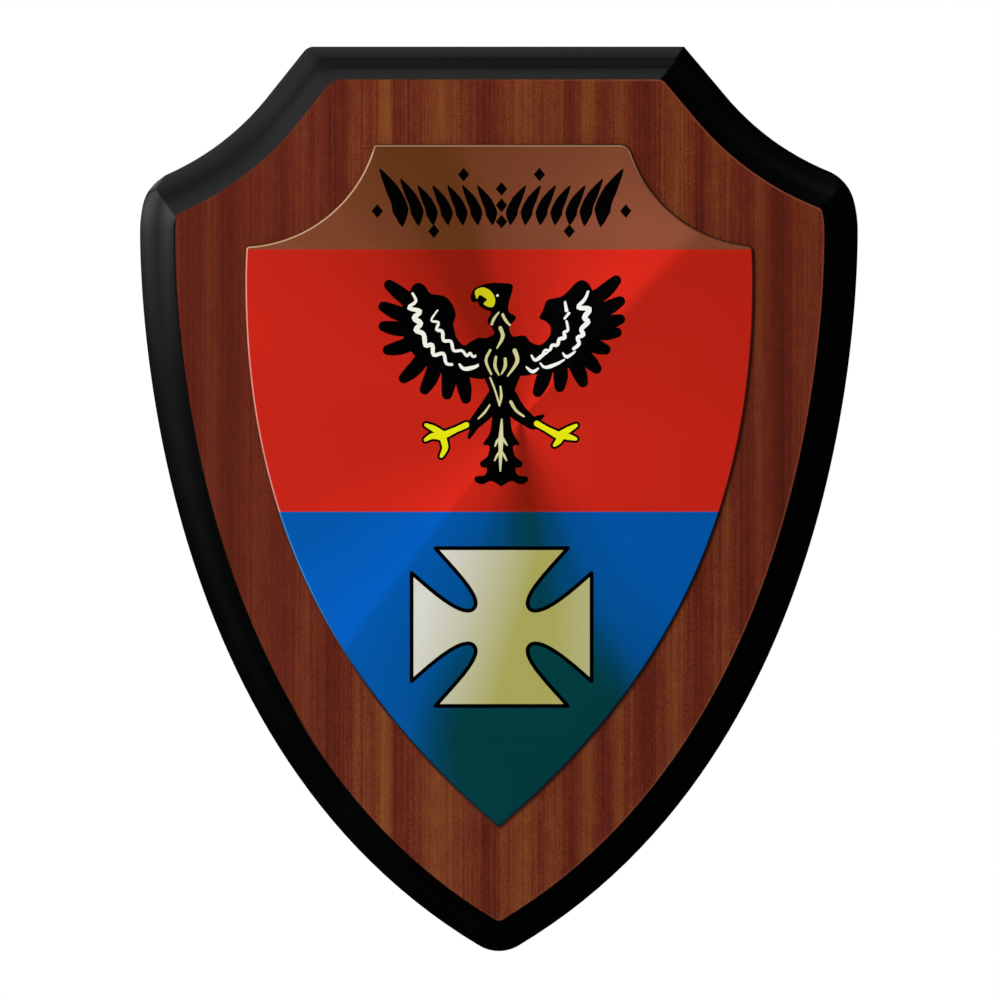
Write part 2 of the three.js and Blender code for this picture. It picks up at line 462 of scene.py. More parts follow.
boardForm = {
    "halfWidth": (boardBox[1].x - boardBox[0].x) / 2 / mm,
    "height": (boardBox[1].z - boardBox[0].z) / mm,
    "middle": (boardBox[1].z + boardBox[0].z) / 2 / mm,
    "left": {"halfTop": 39.95, "lead": 13.6, "leadAngle": 38.6, "shares": rimShares("left hollow")},
    "right": {"halfTop": 38.7, "lead": 13.7, "leadAngle": 40.1, "shares": rimShares("right hollow")},
    "hollowRadius": 55,
    "flankDrop": 38.5,
    "flankRadius": 25,
    "flankHandle": 14.8,
    "tipHandle": 79.5,
    "tipAngle": 30.8,
    "tipRadius": boardLook["faceTip"] + boardRim["tip"],
    "cornerSteps": 8,
    "hollowSteps": 36,
    "shoulderSteps": 14,
    "flankRoundSteps": 8,
    "flankSteps": 56,
    "tipSteps": 10,
}
woodSlot, arrisSlot, lacquerSlot, backSlot = range(4)


def boardLevel(inset, depth, slot, trim=0):
    look = boardLook
    inward = min(1, inset / boardRim["flank"])
    nose = max(0, 1 - inset / look["noseDepth"])
    level = {"inset": inset + trim, "depth": depth, "slot": slot}
    for side in ("right", "left"):
        shoulder = blend(look["mitreShoulder"], look["noseShoulder"], nose)
        shoulder += (look["faceShoulder"][side] - look["mitreShoulder"]) * inward**6
        corner = blend(*look["corner"][side], inward ** look["cornerTurn"][side])
        level[side] = (corner, shoulder - trim)
    return level


def boardLevels():
    look = boardLook
    front = boardBox[0].y / mm
    arris = look["faceArris"]
    flank = boardRim["flank"]
    levels = []
    for i in range(4):
        turn = math.pi / 2 * i / 3
        inward = 1 - math.sin(turn)
        level = boardLevel(flank + arris * inward, front + arris * (1 - math.cos(turn)), arrisSlot)
        level["left"] += (look["leftArris"] * inward,)
        levels.append(level)
    for i in range(look["ogeeSteps"] + 1):
        t = i / look["ogeeSteps"]
        drop = t + look["ogeeSwing"] * math.sin(2 * math.pi * t) / (2 * math.pi)
        depth = front + look["stepDepth"] + look["ogeeDepth"] * drop
        levels.append(boardLevel(flank * (1 - t), depth, lacquerSlot))
    back = look["backArris"]
    levels.append(boardLevel(0, -back, lacquerSlot))
    levels.append(boardLevel(0, 0, lacquerSlot, back))
    return levels


def slotCutter(name, width, bottomZ, topZ, fromDepth, toDepth):
    bm = bmesh.new()
    for z in (bottomZ, topZ):
        made = bmesh.ops.create_cone(
            bm, cap_ends=True, segments=boardLook["keyhole"]["sides"], radius1=width / 2 * mm,
            radius2=width / 2 * mm, depth=(toDepth - fromDepth) * mm,
        )
        for vert in made["verts"]:
            x, y, alongZ = vert.co
            vert.co = (x, alongZ - (fromDepth + toDepth) / 2 * mm, z * mm + y)
    hull = bmesh.ops.convex_hull(bm, input=bm.verts)
    spare = [item for item in hull["geom_interior"] if isinstance(item, bmesh.types.BMVert)]
    bmesh.ops.delete(bm, geom=spare, context="VERTS")
    keep = {item for item in hull["geom"] if isinstance(item, bmesh.types.BMFace)}
    inner = [face for face in bm.faces if face not in keep]
    bmesh.ops.delete(bm, geom=inner, context="FACES")
    bmesh.ops.recalc_face_normals(bm, faces=bm.faces)
    for face in bm.faces:
        face.material_index = backSlot
    return finishedPiece(name, bm, [])


def cutKeyhole(board):
    look = boardLook["keyhole"]
    entryZ = boardBox[1].z / mm - look["drop"]
    topZ = entryZ + look["rise"]
    outside = -1
    cutters = [
        slotCutter("cutEntry", look["entry"], entryZ, entryZ, outside, look["depth"]),
        slotCutter("cutNeck", look["neck"], entryZ, topZ, outside, look["depth"]),
        slotCutter("cutPocket", look["entry"], entryZ, topZ, look["lip"], look["depth"]),
    ]
    for cutter in cutters:
        cut = board.modifiers.new(cutter.name, "BOOLEAN")
        cut.operation = "DIFFERENCE"
        cut.solver = "EXACT"
        cut.object = cutter
    graph = bpy.context.evaluated_depsgraph_get()
    cutMesh = bpy.data.meshes.new_from_object(board.evaluated_get(graph))
    board.modifiers.clear()
    board.data = cutMesh
    bm = bmesh.new()
    bm.from_mesh(cutMesh)
    # the cutters share walls, which leaves slivers
    bmesh.ops.remove_doubles(bm, verts=bm.verts, dist=mergeDistance)
    bmesh.ops.dissolve_degenerate(bm, edges=bm.edges, dist=mergeDistance)
    bm.to_mesh(cutMesh)
    bm.free()
    for face in cutMesh.polygons:  # the flat back and the keyhole's walls
        if face.material_index == backSlot:
            face.use_smooth = False
    cutMesh.set_sharp_from_angle(angle=sharpAngle)
    for cutter in cutters:
        bpy.data.objects.remove(cutter)


def makeBoard():
    bm = bmesh.new()
    rings = loftRings(bm, boardForm, boardLevels())
    for ring, slot in ((rings[0], woodSlot), (rings[-1], backSlot)):
        for face in bmesh.ops.edgeloop_fill(bm, edges=ring)["faces"]:
            face.material_index = slot
    bmesh.ops.recalc_face_normals(bm, faces=bm.faces)
    finishes = [
        mahoganyFinish("mahogany", False),
        mahoganyFinish("mahogany_arris", True),
        lacquerFinish(),
        plainWoodFinish(),
    ]
    board = finishedPiece("moulded_board", bm, finishes)
    cutKeyhole(board)
    board.data.name = "moulded_board"
    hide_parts("board")
    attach(board, "root")


makeBoard()
print("board made")


# Drawing helpers for the painted work


def smoothCurve(points, steps, closed):
    points = [Vector(p) for p in points]
    count = len(points)
    curve = []
    for i in range(count if closed else count - 1):
        if closed:
            a, b, c, d = (points[(i + k - 1) % count] for k in range(4))
        else:
            a, b, c, d = (points[min(max(i + k - 1, 0), count - 1)] for k in range(4))
        curve += interpolate_bezier(b, b + (c - a) / 6, c - (d - b) / 6, c, steps + 1)[:-1]
    return curve if closed else curve + [points[-1]]


def pathNormals(path):
    normals = []
    for i in range(len(path)):
        along = (path[min(i + 1, len(path) - 1)] - path[max(i - 1, 0)]).normalized()
        normals.append(Vector((-along.y, along.x)))
    return normals


def brush(points, widths, steps=6):
    path = smoothCurve(points, steps, False)
    normals = pathNormals(path)
    spans = len(widths) - 1
    halves = []
    for i in range(len(path)):
        share = i / (len(path) - 1) * spans
        k = min(int(share), spans - 1)
        halves.append(blend(widths[k], widths[k + 1], share - k) / 2)
    left = [p + n * h for p, n, h in zip(path, normals, halves)]
    right = [p - n * h for p, n, h in zip(path, normals, halves)]
    outline = list(left)
    for end, start in ((-1, math.pi / 2), (0, -math.pi / 2)):
        if halves[end] > 0.05:
            facing = math.atan2(normals[end].y, normals[end].x) - math.pi / 2 + start
            outline += arcPoints(path[end], facing, facing - math.pi, halves[end], 8)[1:-1]
        if end == -1:
            outline += reversed(right)
    return outline


def mirrored(outline, middle):
    return [Vector((2 * middle - p.x, p.y)) for p in outline]


def swollen(outline, amount):
    # the same closed outline moved out by an amount, with its outer corners rounded
    turned = sum(outline[i - 1].cross(p) for i, p in enumerate(outline))
    side = 1 if turned > 0 else -1
    moved = []
    for i, point in enumerate(outline):
        before = (point - outline[i - 1]).normalized()
        after = (outline[(i + 1) % len(outline)] - point).normalized()
        startAngle = math.atan2(-before.x * side, before.y * side)
        turn = math.atan2(before.cross(after), before.dot(after))
        if turn * side * amount > 0 and abs(turn) > 0.3:
            moved += arcPoints(point, startAngle, startAngle + turn, amount, 6)
            continue
        middle = heading(startAngle + turn / 2)
        moved.append(point + middle * amount / max(0.3, math.cos(turn / 2)))
    return moved


# Eagle, drawn from plain brush strokes: a black body, light strokes on it, yellow beak and feet

eagleLook = {
    "middle": 0.5,
    "featherRoot": 5.5,
    "featherCurl": 0.4,
    "featherWidths": [2.8, 3.2, 3, 2.2],
    "thighWidths": (4.4, 3.6, 2.4),
    "tuftWidths": (2.2, 0.7),
    "shankWidths": (1.2, 1.1, 1.6),
    "toeWidths": (1.4, 1.25, 0.7),
    "wings": [
        {
            "heart": (11.8, 36.0),
            "feathers": [  # which way each points, in degrees, and how far it reaches
                (37, 16.9), (21, 15.5), (6, 14.6), (-6, 13.9), (-25, 12.6),
                (-46, 13.4), (-64, 14.1), (-86, 13.8), (-105, 15.3),
            ],
            "body": [
                (2, 33), (2.8, 33.7), (5.4, 34), (6.5, 32.8), (8.6, 32.1), (10.4, 33.7), (10.8, 35.6),
                (9.9, 36.9), (8.5, 37.6), (8.7, 38.4), (9.2, 39.4), (10.1, 41.4), (12.8, 42.1),
                (14.3, 43.2), (15.9, 44.9), (17.2, 45.6), (18.5, 45.1), (19.4, 43.7), (20.9, 41),
                (21.4, 38.2), (20.8, 34.6), (19.1, 31.2), (16, 28.2), (12.4, 26.6), (8, 26), (3, 26.2),
            ],
            "rows": [  # light edges of the short feathers, and how wide their strokes are
                ([
                    (18.6, 43.2), (17.9, 41.6), (16.5, 39.9), (18.9, 39.6), (17.8, 37.8), (18.6, 36.9),
                    (17.2, 35.4), (17.6, 34.2), (16.4, 33.6), (16.7, 32.3), (15.6, 31.3),
                ], (0.5, 1.1, 0.9, 0.7)),
                ([(13.3, 30.4), (14.2, 29.6), (15.9, 30.7)], (0.3, 0.8, 0.35)),
                ([(8.6, 28.3), (9.7, 27.4), (12, 28.1), (13.6, 29)], (0.3, 0.8, 0.35)),
                ([(5.7, 27.5), (7, 26.5), (8.2, 27.2)], (0.3, 0.8, 0.35)),
                ([(13.8, 41), (14.1, 39.3)], (0.5, 0.8)),
                ([(14.6, 38.7), (13.7, 37.6)], (0.6, 0.5)),
                ([
                    (14.1, 37), (14.4, 35.2), (13.6, 34.7), (13.7, 33.6), (12.6, 33.3), (12.2, 32.1),
                    (11.1, 32), (10.6, 31), (9.6, 31), (9, 30),
                ], (0.5, 0.8, 0.7, 0.4)),
                ([(6.8, 29.9), (7.6, 28.9), (9.2, 30), (10.2, 30.6)], (0.4, 0.8, 0.4)),
            ],
        },
        {
            "heart": (-10.8, 35.5),
            "feathers": [
                (143, 16.2), (161, 15.1), (178, 14.3), (200, 14.2),
                (229, 14.8), (250, 14.6), (270, 14.8), (285, 16.2),
            ],
            "body": [
                (-1, 33), (-1.9, 33.3), (-3.9, 33.6), (-5.5, 33), (-7.3, 32), (-8.8, 33.6), (-9.2, 35),
                (-9.5, 36.5), (-9, 38.4), (-9.7, 40.5), (-11.3, 42.2), (-14.2, 42.8), (-15.2, 44.1),
                (-16.5, 45), (-17.8, 44.6), (-18.8, 42.8), (-20, 40.6), (-20.6, 37.6), (-20, 34),
                (-18.2, 30.6), (-15, 27.6), (-11.4, 26), (-7, 25.4), (-2, 25.6),
            ],
            "rows": [
                ([
                    (-18, 42.8), (-17.3, 41.2), (-18.8, 39.8), (-16.4, 39.1), (-17.7, 37.7),
                    (-16.3, 36.6), (-17.3, 35.2), (-15.7, 34.3), (-15.3, 32), (-13.9, 32.1),
                    (-13.6, 30), (-11.6, 30.3), (-11, 28.3), (-9.8, 28),
                ], (0.5, 1.1, 0.9, 0.6)),
                ([(-8.2, 28), (-7.2, 27.1), (-5, 27.5), (-4, 28.2)], (0.5, 0.9, 0.4)),
                ([(-4, 28), (-2.2, 26.8), (-1.6, 27.8)], (0.5, 0.8, 0.4)),
                ([
                    (-12.8, 39.3), (-14.1, 37.2), (-12.6, 36.8), (-13, 35.3), (-11.8, 34.9),
                    (-11.5, 33), (-10, 32.8), (-9.4, 30.9), (-7.7, 30.9), (-6.7, 29.8), (-6, 30.4),
                    (-5.3, 29.6), (-4, 30.4),
                ], (0.35, 0.75, 0.6, 0.5)),
            ],
        },
    ],
    "head": [
        (2.7, 44.7), (0.6, 45), (-1.6, 45), (-3.8, 44.5), (-5.3, 43.6), (-5.9, 42), (-5.4, 41),
        (-4.5, 41.1), (-3.9, 40.1), (-2.6, 39.3), (-1.6, 38.9), (-2.4, 37), (-1.4, 35.6), (-1, 34.4),
        (-2.4, 33.6), (-4.4, 32.8), (-4.7, 29.6), (-3.4, 26), (-1.9, 22.4), (-1.8, 20.2), (0.5, 18.6),
        (3, 20.2), (3.2, 22.4), (4.6, 26), (5.4, 29.6), (5.4, 33.2), (3.4, 33.6), (2.4, 34.6),
        (2.3, 36), (3.6, 37.8), (2.1, 39), (2.1, 41), (2.8, 43.4),
    ],
    "beak": [
        (-1.9, 43.5), (-3.4, 44.1), (-4.7, 43.6), (-5, 42.9), (-4.6, 41.7), (-4, 42.5), (-3.2, 42.1),
        (-2.5, 41.5), (-3.2, 40.7), (-2.4, 40.1), (-1.3, 40), (-0.8, 41), (-1, 42.3),
    ],
    "eye": (-0.3, 42.4),
    "eyeRadius": 0.28,
    "tail": [
        (0.4, 20), (-1.2, 18), (-1.8, 14), (-3.3, 11.4), (-2, 11), (-2.4, 8.9), (-3.9, 7.6),
        (-3.6, 6.6), (-2.5, 6.4), (-2.9, 5), (-4.9, 4.6), (-4.9, 3.6), (-3.4, 3), (-1.6, 3.7), (0.4, 2.6),
    ],
    "legs": [
        {
            "thigh": [(-0.4, 21), (-2.6, 18.4), (-5.4, 15.4)],
            "tuft": [(-4.4, 16.4), (-6.2, 12.8)],
            "shank": [(-6.8, 15.4), (-9, 14.4), (-11.8, 13.1)],
            "toes": [
                [(-11.6, 13.4), (-13.7, 14.7), (-15.2, 15.4)],
                [(-12, 12.9), (-13.8, 13.1), (-15.3, 12.3)],
                [(-11.7, 12.8), (-11.2, 10.7), (-12, 8.9)],
            ],
        },
        {
            "thigh": [(1.8, 21), (3.9, 18.2), (7.2, 15.6)],
            "tuft": [(6.4, 15.8), (9.2, 17.3)],
            "shank": [(7.9, 15.7), (10, 14.5), (12.6, 13.1)],
            "toes": [
                [(12.4, 13.2), (14.5, 14.4), (16.1, 15.3)],
                [(13, 13.3), (14.6, 12.9), (16, 12.5)],
                [(13, 13), (12.4, 12), (11.6, 11.2)],
            ],
        },
    ],
    "strokes": [  # points, and the width at the start, the middle and the end
        ([(0, 38.9), (-1, 37.6), (-1.5, 36.4)], (0.3, 0.6, 0.5)),
        ([(0.8, 38.4), (1.4, 37.2), (2.3, 36.2)], (0.6, 0.6, 0.4)),
        ([(0.3, 35.6), (0.8, 33.8), (-0.4, 31.4)], (0.8, 0.8, 0.3)),
        ([(-1.8, 31), (-2.7, 28.8), (-1.6, 26)], (0.5, 0.6, 0.4)),
        ([(3.3, 30.9), (3.8, 28.6), (1.8, 25.6)], (0.9, 0.8, 0.3)),
        ([(-0.6, 29.6), (-0.8, 27.6), (0, 25.8)], (0.5, 0.7, 0.3)),
        ([(1.3, 29.2), (1.3, 27.6), (0.5, 26)], (0.6, 0.7, 0.3)),
        ([(-1.8, 25.2), (-0.8, 22.6), (0.1, 19.6)], (0.4, 0.4, 0.4)),
        ([(0.3, 23.4), (0.5, 21.4), (0.1, 19.4)], (0.4, 0.6, 0.3)),
        ([(-1.9, 19.6), (-3, 18), (-4.3, 16.7)], (0.3, 0.5, 0.3)),
        ([(2.5, 20.2), (3.6, 18.4), (5.2, 17.2)], (0.7, 0.6, 0.4)),
        ([(0.6, 16.6), (0.4, 12), (0.3, 5.8)], (0.3, 1.1, 0.3)),
        ([(0.3, 13), (-0.4, 12), (-0.8, 11)], (0.3, 0.5, 0.3)),
        ([(0.7, 13), (1.2, 12), (1.7, 11.2)], (0.3, 0.5, 0.3)),
        ([(0.2, 10), (-0.4, 9), (-0.9, 8)], (0.3, 0.5, 0.3)),
        ([(0.6, 10), (1.1, 9), (1.6, 8)], (0.3, 0.5, 0.3)),
    ],
    "outline": 0.48,
}


def eagleShapes():
    look = eagleLook
    widths = look["featherWidths"]
    shapes = []
    for wing in look["wings"]:
        heart = Vector(wing["heart"])
        shapes.append(("black", smoothCurve(wing["body"], 6, True)))
        for angle, reach in wing["feathers"]:
            way = heading(math.radians(angle))
            curl = Vector((abs(way.y), -abs(way.x))) * look["featherCurl"]
            root = heart + way * look["featherRoot"]
            end = reach - widths[-1] / 2
            spine = [root, heart + way * end * 0.75 + curl, heart + way * end]
            shapes.append(("black", brush(spine, widths)))
        for points, strokeWidths in wing["rows"]:
            shapes.append(("white", brush(points, strokeWidths, 4)))
    tail = smoothCurve(look["tail"], 5, False)
    shapes.append(("black", tail + mirrored(reversed(tail), look["middle"])))
    for leg in look["legs"]:
        shapes.append(("black", brush(leg["thigh"], look["thighWidths"])))
        shapes.append(("black", brush(leg["tuft"], look["tuftWidths"])))
        parts = [brush(leg["shank"], look["shankWidths"])]
        parts += [brush(toe, look["toeWidths"]) for toe in leg["toes"]]
        shapes += [("black", swollen(part, look["outline"])) for part in parts]
        shapes += [("yellow", part) for part in parts]
    shapes.append(("black", smoothCurve(look["head"], 5, True)))
    shapes.append(("yellow", smoothCurve(look["beak"], 5, True)))
    eye = arcPoints(Vector(look["eye"]), 0, 2 * math.pi, look["eyeRadius"], 12)
    shapes.append(("white", eye[:-1]))
    shapes += [("cream", brush(points, widths)) for points, widths in look["strokes"]]
    return shapes


# Cross with splayed arms, worked out for one quarter

crossLook = {
    "middle": (0.57, -26.73),
    "topCorner": (13.8, 16.45),
    "bends": [  # curves from the corner of the upper arm round the notch to that of the side arm
        ((10.4, 12.5), (5.4, 7.6), (5.4, 5)),
        ((5.4, 4), (6.1, 3.4), (7, 3.4)),
        ((10, 3.4), (15, 8), (18.77, 11.3)),
    ],
    "outline": 0.41,
}


def crossShapes():
    look = crossLook
    quarter = [Vector(look["topCorner"])]
    for bend in look["bends"]:
        quarter += interpolate_bezier(quarter[-1], *[Vector(p) for p in bend], 13)[1:]
    outline = []
    for signX, signZ in ((1, 1), (1, -1), (-1, -1), (-1, 1)):
        part = [Vector((p.x * signX, p.y * signZ)) for p in quarter]
        outline += part if signX == signZ else reversed(part)
    outline = [p + Vector(look["middle"]) for p in outline]
    line = look["outline"]
    return [("black", swollen(outline, line)), ("silver", swollen(outline, -line))]


# Band of leaf-shaped strokes where an inscription would stand, the same on both sides of its middle

scriptLook = {
    "middle": 0.55,
    "leaves": [  # steps out from the middle, the heights of the foot and the top, and the width
        (3.2, 57.2, 65.2, 2.5),
        (6.3, 57.2, 65.2, 2.5),
        (9.4, 57.2, 65.2, 2.5),
        (12.5, 57.2, 65.2, 2.5),
        (15.6, 57.2, 65.2, 2.5),
        (18.9, 57, 66.6, 2.7),
        (22.7, 56.8, 68.7, 3.4),
    ],
    "lean": 0.17,
    "leafEnd": 0.3,
    "lozenges": [(0, 57.8), (0, 61.2), (0, 64.6), (7.9, 67.6), (14.1, 55.8), (25.9, 60)],
    "lozengeSize": 1.2,
}


def scriptShapes():
    look = scriptLook
    middle = look["middle"]
    shapes = []
    for out, low, high, width in look["leaves"]:
        x = middle + out
        lean = (high - low) * look["lean"]
        end = look["leafEnd"]
        spine = [(x - lean, low), (x - lean * 0.55, blend(low, high, 0.45)), (x + lean * 1.3, high)]
        leaf = brush(spine, (end, width, width * 0.8, end))
        shapes += [("black", leaf), ("black", mirrored(leaf, middle))]
    size = look["lozengeSize"]
    for out, z in look["lozenges"]:
        ways = ((-1, 0), (0, -1.2), (1, 0), (0, 1.2))
        points = [Vector((middle + out + x * size, z + y * size)) for x, y in ways]
        shapes.append(("black", points))
        if out:
            shapes.append(("black", mirrored(points, middle)))
    return shapes


# Painted metal: every paint is thin, and each one's colour carries a painted sheen and a painted shadow

plateLook = {
    "glue": 0.01,
    "redTop": 52.0,
    "redFoot": -2.7,
    "paintedSheenHeart": (4.4, 16.5),
    "paintedSheen": [  # degrees round that point, and how bright the painted sheen is there
        (-180, 0.59), (-166, 0.59), (-152, 0.68), (-140, 0.82), (-129, 0.93), (-126, 0.66), (-112, 0.52),
        (-101, 0.30), (-92, 0.11), (-83, 0.05), (-74, 0.24), (-62, 0.51), (-48, 0.66), (-8, 0.64),
        (18, 0.56), (44, 0.48), (49, 0.93), (58, 0.93), (68, 0.80), (84, 0.56), (96, 0.40), (107, 0.08),
        (115, 0.10), (124, 0.27), (134, 0.44), (146, 0.56), (160, 0.62), (180, 0.59),
    ],
    "fade": {"up": (54, 74), "strength": 0.3},  # how the painted sheen is lost towards the copper's top
    # a painted shadow that darkens the paints low in the middle
    "paintedShadow": {"middle": (8.5, -52), "size": (24, 26), "border": (0.68, 1.24)},
    "paintedSilverSheen": {"lean": 0.3, "left": (12, -9, 0.85), "right": (10, 19, 0.15)},
    # each paint as its colour in painted shade and in painted sheen
    "paints": {
        "copper": (shade(90, 47, 16), shade(144, 79, 57)),
        "red": (shade(124, 22, 7), shade(218, 40, 26)),
        "blue": (shade(0, 57, 61), shade(0, 92, 192)),
        "silver": (shade(163, 160, 86), shade(216, 216, 214)),
        "white": (shade(228, 226, 206), shade(240, 238, 236)),
        "cream": (shade(196, 190, 128), shade(214, 210, 164)),
        "yellow": (shade(192, 186, 20), shade(240, 240, 12)),
        "black": (shade(1, 1, 1), shade(3, 3, 3)),
    },
    # the bevel's colours in painted highlight, and in painted shade
    "paintedHighlightEdge": {"copper": shade(208, 168, 128), "red": shade(236, 146, 132), "blue": shade(36, 144, 232)},
    "paintedShadeEdge": {"copper": shade(120, 70, 48), "red": shade(96, 26, 16), "blue": shade(6, 34, 52)},
    "paintedHighlight": {"across": (31, 25), "up": (-42, -12), "nearTop": (71.8, 73), "topLoss": 0.5},
    "colourBorder": 0.05,
    # painted light and shade: the cut edge lighter on the left, darker on the right, each side mottled at
    # random
    "cutEdge": {
        "left": (shade(84, 38, 24), shade(104, 50, 32)),
        "right": (shade(40, 22, 14), shade(66, 38, 24)),
        "across": (-10, 30),
    },
    "profile": [  # inset, and depth below the face: the bevel with painted highlight and shade, then the cut edge
        (0.56, 0),
        (0.52, 0.02),
        (0.32, 0.18),
        (0.27, 0.24),
        (0.06, 0.62),
        (0, 0.85),
    ],
    "paintedEdgeLevels": 4,  # how many of those carry the painted highlight and shade
    "corner": {"right": (2.6, 1.6), "left": (0.6, 0.9)},  # at the top and at the shoulder
    "leastCorner": 0.15,
}


# painted sheen: brighter and darker by the angle round a point, darker in a painted shadow low down, fainter
# towards the top
def paintedSheenOf(finish):
    look = plateLook
    x = finish.axis("X")
    z = finish.axis("Z")
    heartX, heartZ = look["paintedSheenHeart"]
    turn = x.math("ARCTAN2", z - heartZ, x - heartX) / (2 * math.pi) + 0.5
    stops = [(angle / 360 + 0.5, level) for angle, level in look["paintedSheen"]]
    paintedSheen = finish.ramp(turn, stops)
    paintedShadow = look["paintedShadow"]
    middleX, middleZ = paintedShadow["middle"]
    sizeX, sizeZ = paintedShadow["size"]
    away = (((x - middleX) / sizeX) ** 2 + ((z - middleZ) / sizeZ) ** 2) ** 0.5
    faded = finish.soft(z, *look["fade"]["up"]) * look["fade"]["strength"]
    return paintedSheen * finish.soft(away, *paintedShadow["border"]) * (1 - faded)


def paintedSilverSheen(finish):
    # painted sheen on the silver: bright all over its left side, and a little on the right
    look = plateLook["paintedSilverSheen"]
    x = finish.axis("X")
    dim, bright, strength = look["left"]
    left = finish.limited(x - finish.axis("Z") * look["lean"], dim, bright) * strength
    dim, bright, strength = look["right"]
    return left + finish.soft(x, dim, bright) * strength


def paintFinish(name):
    dim, bright = plateLook["paints"][name]
    finish = Finish("plate_" + name)
    brushed = finish.noise((0.4, 1, 6), 2)
    # the painted sheen sets how far each paint goes from its shaded colour to its lit one
    paintedSheen = paintedSilverSheen(finish) if name == "silver" else paintedSheenOf(finish)
    finish.surface(
        Base_Color=finish.mixed(paintedSheen, dim, bright),
        Roughness=0.36 + brushed * 0.1,
        Specular_IOR_Level=0.04,
        Normal=finish.bump(brushed, 0.03, 0.01),
    )
    return finish.material


def edgeFinish():
    # painted highlight at the left and the top, painted shade at the right and near the tip
    look = plateLook
    finish = Finish("plate_edge")
    wearAndPaintedHighlight = finish.noise((0.2, 0.2, 0.2), 3)
    x = finish.axis("X")
    z = finish.axis("Z")
    border = look["colourBorder"]
    inRed = finish.soft(z - look["redFoot"], -border, border)
    inCopper = finish.soft(z - look["redTop"], -border, border)
    colours = []
    for edge in (look["paintedShadeEdge"], look["paintedHighlightEdge"]):
        painted = finish.mixed(inRed, edge["blue"], edge["red"])
        colours.append(finish.mixed(inCopper, painted, edge["copper"]))
    paintedHighlight = look["paintedHighlight"]
    share = finish.soft(x, *paintedHighlight["across"]) * finish.soft(z, *paintedHighlight["up"])
    share = share * (1 - finish.soft(z, *paintedHighlight["nearTop"]) * paintedHighlight["topLoss"])
    finish.surface(
        Base_Color=finish.mixed(share, *colours),
        Metallic=0.2,
        Roughness=0.4 + wearAndPaintedHighlight * 0.12,
        Specular_IOR_Level=0.3,
    )
    return finish.material


def cutEdgeFinish():
    look = plateLook["cutEdge"]
    finish = Finish("plate_cut_edge")
    wearAndPaintedHighlight = finish.noise((0.3, 0.3, 0.3), 3)
    # painted light and shade: the left side lighter, the right side darker
    sides = [finish.mixed(wearAndPaintedHighlight, *look[side]) for side in ("left", "right")]
    finish.surface(
        Base_Color=finish.mixed(finish.soft(finish.axis("X"), *look["across"]), *sides),
        Roughness=0.55 + wearAndPaintedHighlight * 0.15,
        Specular_IOR_Level=0.3,
    )
    return finish.material


plateForm = {
    "height": (plateBox[1].z - plateBox[0].z) / mm,
    "middle": (plateBox[1].z + plateBox[0].z) / 2 / mm,
    "left": {"halfWidth": 53.1, "halfTop": 26.1},
    "right": {"halfWidth": 53.34, "halfTop": 27.1},
    "lead": 1.65,
    "leadAngle": 18.5,
    "hollowRadius": 28.8,
    "flankDrop": 28.7,
    "flankRadius": 120,
    "flankHandle": 43,
    "tipHandle": 51,
    "tipAngle": 40.5,
    "tipRadius": 1,
    "shares": (1, 1, 1, 1),
    "cornerSteps": 8,
    "hollowSteps": 30,
    "shoulderSteps": 8,
    "flankRoundSteps": 6,
    "flankSteps": 50,
    "tipSteps": 6,
}
paintNames = list(plateLook["paints"])
edgeSlot = len(paintNames)
cutSlot = edgeSlot + 1


def plateLevels():
    look = plateLook
    front = plateBox[0].y / mm
    foot = boardBox[0].y / mm - look["glue"]
    profile = [(inset, front + drop) for inset, drop in look["profile"]] + [(0, foot)]
    levels = []
    for i, (inset, depth) in enumerate(profile):
        level = {"inset": inset, "depth": depth, "slot": edgeSlot if i < look["paintedEdgeLevels"] else cutSlot}
        for side, radii in look["corner"].items():
            level[side] = [max(look["leastCorner"], radius - inset) for radius in radii]
        levels.append(level)
    return levels


def inside(point, outline):
    # how often the outline winds round the point, so that a stroke may cross itself
    winding = 0
    for i, p in enumerate(outline):
        q = outline[i - 1]
        if (q.y <= point.y) != (p.y <= point.y):
            side = (p - q).cross(point - q)
            if q.y <= point.y and side > 0:
                winding += 1
            elif q.y > point.y and side < 0:
                winding -= 1
    return winding != 0


def paintedFace(bm, border):
    wide = 80
    foot = plateForm["middle"] - plateForm["height"]
    top, seam = plateLook["redTop"], plateLook["redFoot"]
    shapes = [
        ("red", [Vector(p) for p in ((-wide, seam), (wide, seam), (wide, top), (-wide, top))]),
        ("blue", [Vector(p) for p in ((-wide, foot), (wide, foot), (wide, seam), (-wide, seam))]),
    ]
    shapes += scriptShapes() + eagleShapes() + crossShapes()
    places = []
    edges = []
    for outline in [border] + [outline for paint, outline in shapes]:
        first = len(places)
        places += outline
        edges += [(first + i, first + (i + 1) % len(outline)) for i in range(len(outline))]
    cut = delaunay_2d_cdt(places, edges, [], 1, 1e-5, False)
    verts = [bm.verts.new(Vector((p.x, plateBox[0].y / mm, p.y)) * mm) for p in cut[0]]
    boxes = []
    for paint, outline in shapes:
        xs = [p.x for p in outline]
        zs = [p.y for p in outline]
        boxes.append((min(xs), max(xs), min(zs), max(zs)))
    count = 0
    for corners in cut[2]:
        middle = sum((cut[0][k] for k in corners), Vector((0, 0))) / len(corners)
        if not inside(middle, border):
            continue
        paintName = "copper"
        for (paint, outline), (lowX, highX, lowZ, highZ) in zip(reversed(shapes), reversed(boxes)):
            if lowX < middle.x < highX and lowZ < middle.y < highZ and inside(middle, outline):
                paintName = paint
                break
        face = bm.faces.new([verts[k] for k in corners])
        face.material_index = paintNames.index(paintName)
        count += 1
    return count


